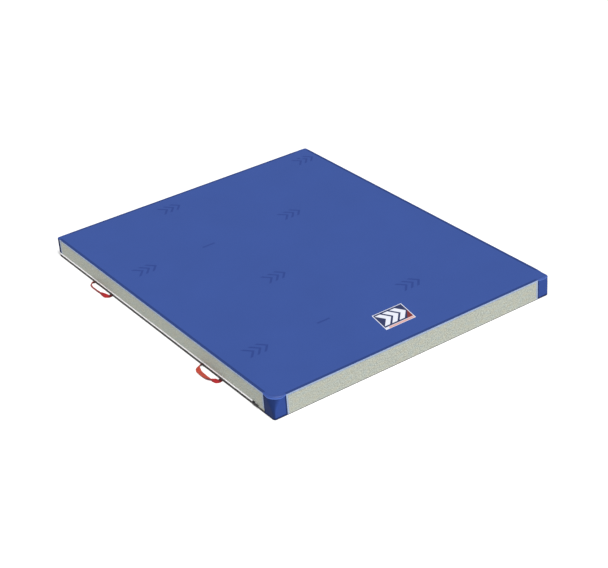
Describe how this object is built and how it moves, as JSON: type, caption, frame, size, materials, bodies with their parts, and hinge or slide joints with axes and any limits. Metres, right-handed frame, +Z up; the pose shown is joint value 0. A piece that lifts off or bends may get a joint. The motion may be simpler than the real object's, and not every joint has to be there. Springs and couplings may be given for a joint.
{
  "type": "crash landing mat",
  "caption": "Flat rectangular gymnastics landing mat: foam block in a zip-off blue cover with grey mesh sides, corner patches and webbing carrying loops.",
  "frame": {"origin": "centre of the face that the mat lies on", "axes": "+Z up, +Y along the mat's length towards the back, +X to the right; the zip's closed end and its slider are on the -X side near -Y"},
  "size_m": [1.716, 2.0012, 0.107],
  "materials": {
    "blue_vinyl": "satin",
    "badge": "satin",
    "black_base": "matte",
    "soft_foam": "matte",
    "firm_foam": "matte",
    "grey_mesh": "matte",
    "pale_binding": "matte",
    "zip_tape": "matte",
    "zip_coil": "satin",
    "zip_metal": "satin",
    "red_webbing": "matte",
    "black_webbing": "matte"
  },
  "bodies": {
    "mat": {"top_sheet": "blue_vinyl", "top_badge": "badge", "base_sheet": "black_base", "foam_core": "soft_foam", "foam_top_layer": "firm_foam", "zip_tape_upper": "zip_tape", "zip_tape_lower": "zip_tape", "zip_coil_upper": "zip_coil", "zip_coil_lower": "zip_coil", "zip_stops": "zip_coil", "zip_end_cover_front": "grey_mesh", "zip_end_cover_back": "grey_mesh", "side_panel_left": "grey_mesh", "side_panel_right": "grey_mesh", "side_panel_front": "grey_mesh", "side_panel_back": "grey_mesh", "panel_binding_left": "pale_binding", "panel_binding_right": "pale_binding", "panel_binding_front": "pale_binding", "panel_binding_back": "pale_binding", "corner_patch_front_left": "blue_vinyl", "corner_patch_front_right": "blue_vinyl", "corner_patch_back_left": "blue_vinyl", "corner_patch_back_right": "blue_vinyl", "handle_anchor_left_front": "black_webbing", "handle_anchor_left_back": "black_webbing", "handle_anchor_right_front": "black_webbing", "handle_anchor_right_back": "black_webbing"},
    "zip_slider": {"zip_slider": "zip_metal"},
    "zip_pull": {"zip_pull": "zip_metal"},
    "handle_left_front": {"handle_left_front": "red_webbing"},
    "handle_left_back": {"handle_left_back": "red_webbing"},
    "handle_right_front": {"handle_right_front": "red_webbing"},
    "handle_right_back": {"handle_right_back": "red_webbing"}
  },
  "joints": [
    {"name": "zip_slider_travel", "type": "slide", "parent": "mat", "child": "zip_slider", "axis": [0, 1, 0], "range_m": [0, 1.78]},
    {"name": "zip_pull_swing", "type": "hinge", "parent": "zip_slider", "child": "zip_pull", "pos_m": [-0.8035, -0.845, 0.0185], "axis": [0, 0, -1], "range_deg": [0, 180]},
    {"name": "handle_left_front_swing", "type": "hinge", "parent": "mat", "child": "handle_left_front", "pos_m": [-0.803, -0.494, 0.0019], "axis": [0, 1, 0], "range_deg": [0, 85]},
    {"name": "handle_left_back_swing", "type": "hinge", "parent": "mat", "child": "handle_left_back", "pos_m": [-0.803, 0.523, 0.0019], "axis": [0, 1, 0], "range_deg": [0, 85]},
    {"name": "handle_right_front_swing", "type": "hinge", "parent": "mat", "child": "handle_right_front", "pos_m": [0.803, -0.494, 0.0019], "axis": [0, -1, 0], "range_deg": [0, 85]},
    {"name": "handle_right_back_swing", "type": "hinge", "parent": "mat", "child": "handle_right_back", "pos_m": [0.803, 0.523, 0.0019], "axis": [0, -1, 0], "range_deg": [0, 85]}
  ]
}
